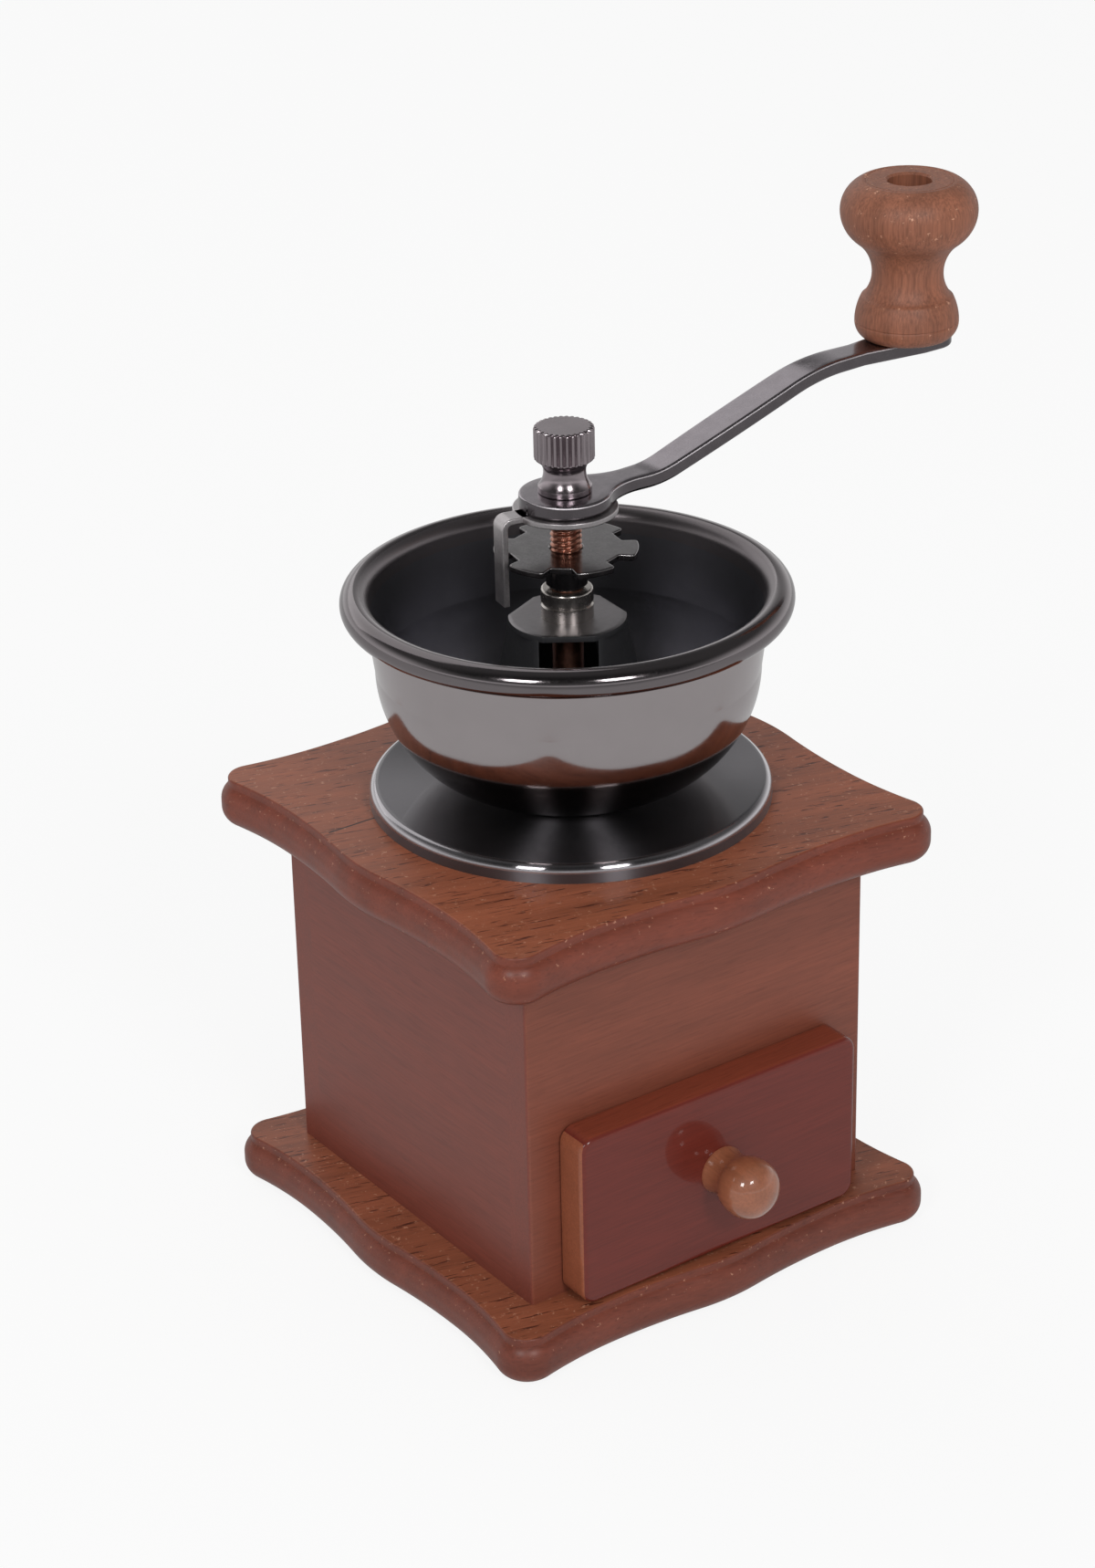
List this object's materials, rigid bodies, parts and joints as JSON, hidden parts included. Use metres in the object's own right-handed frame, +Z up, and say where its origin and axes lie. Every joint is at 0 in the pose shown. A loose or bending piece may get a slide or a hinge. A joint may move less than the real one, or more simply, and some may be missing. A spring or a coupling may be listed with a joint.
{
  "type": "coffee grinder mill",
  "caption": "Hand-cranked wooden box coffee mill with an open metal hopper bowl, adjustable conical burrs, a bent crank with a turned knob and a drawer for the grounds",
  "frame": {"origin": "middle of the base plate's underside", "axes": "+Z up along the spindle, the drawer opens towards -Y, the crank arm points along +X at rest"},
  "size_m": [0.1384, 0.1078, 0.185],
  "materials": {
    "stained_beech_plate": "red-brown stain under thin satin lacquer, fine short dark flecks",
    "stained_beech_box": "darker red-brown stain under thin satin lacquer",
    "bare_drawer_wood": "bare sanded pale wood",
    "knob_wood": "lighter brown, dull lacquer with small scratches",
    "pull_wood": "orange-brown gloss lacquer",
    "black_nickel_steel": "mirror polished black nickel plating",
    "gunmetal_steel": "satin dark grey plating, bright on worn edges",
    "black_cast_iron": "black painted casting with a machined top",
    "burr_iron": "bare hardened iron",
    "turned_steel": "turned steel with a dark plating",
    "copper_washed_steel": "turned and threaded, copper coloured wash",
    "bright_steel": "zinc plated"
  },
  "bodies": {
    "case": {"base_plate": "stained_beech_plate", "front_wall": "stained_beech_box", "back_wall": "stained_beech_box", "left_wall": "stained_beech_box", "right_wall": "stained_beech_box", "base_screws": "bright_steel", "top_plate": "stained_beech_plate", "ring_burr": "burr_iron", "burr_screws": "bright_steel", "skirt_ring": "black_nickel_steel", "hopper_bowl": "black_nickel_steel", "bridge_bracket": "black_cast_iron", "bridge_screws": "bright_steel", "upper_bush": "turned_steel", "lower_strap": "turned_steel", "lower_bush": "turned_steel", "strap_screws": "bright_steel"},
    "setting_nut": {"star_wheel": "gunmetal_steel"},
    "crank_shaft": {"spindle": "copper_washed_steel", "cone_burr": "burr_iron", "burr_pin": "bright_steel", "lock_plate": "gunmetal_steel", "crank_arm": "gunmetal_steel", "knob_axle": "bright_steel"},
    "knob": {"crank_knob": "knob_wood"},
    "clamp_nut": {"thumb_nut": "gunmetal_steel"},
    "drawer": {"drawer_front": "stained_beech_box", "drawer_left_side": "bare_drawer_wood", "drawer_right_side": "bare_drawer_wood", "drawer_back": "bare_drawer_wood", "drawer_bottom": "bare_drawer_wood", "drawer_pull": "pull_wood", "pull_screw": "bright_steel"}
  },
  "joints": [
    {"name": "crank_spin", "type": "hinge", "parent": "case", "child": "setting_nut", "pos_m": [0, 0, 0.1258], "axis": [0, 0, 1], "continuous": true},
    {"name": "grind_adjust", "type": "slide", "parent": "setting_nut", "child": "crank_shaft", "axis": [0, 0, 1], "range_m": [-0.0015, 0.0015]},
    {"name": "knob_spin", "type": "hinge", "parent": "crank_shaft", "child": "knob", "pos_m": [0.0779, 0, 0.1557], "axis": [0, 0, 1], "continuous": true},
    {"name": "thumb_nut_turn", "type": "hinge", "parent": "crank_shaft", "child": "clamp_nut", "pos_m": [0, 0, 0.144], "axis": [0, 0, 1], "range_deg": [0, 360]},
    {"name": "drawer_slide", "type": "slide", "parent": "case", "child": "drawer", "axis": [0, -1, 0], "range_m": [0, 0.055]}
  ]
}
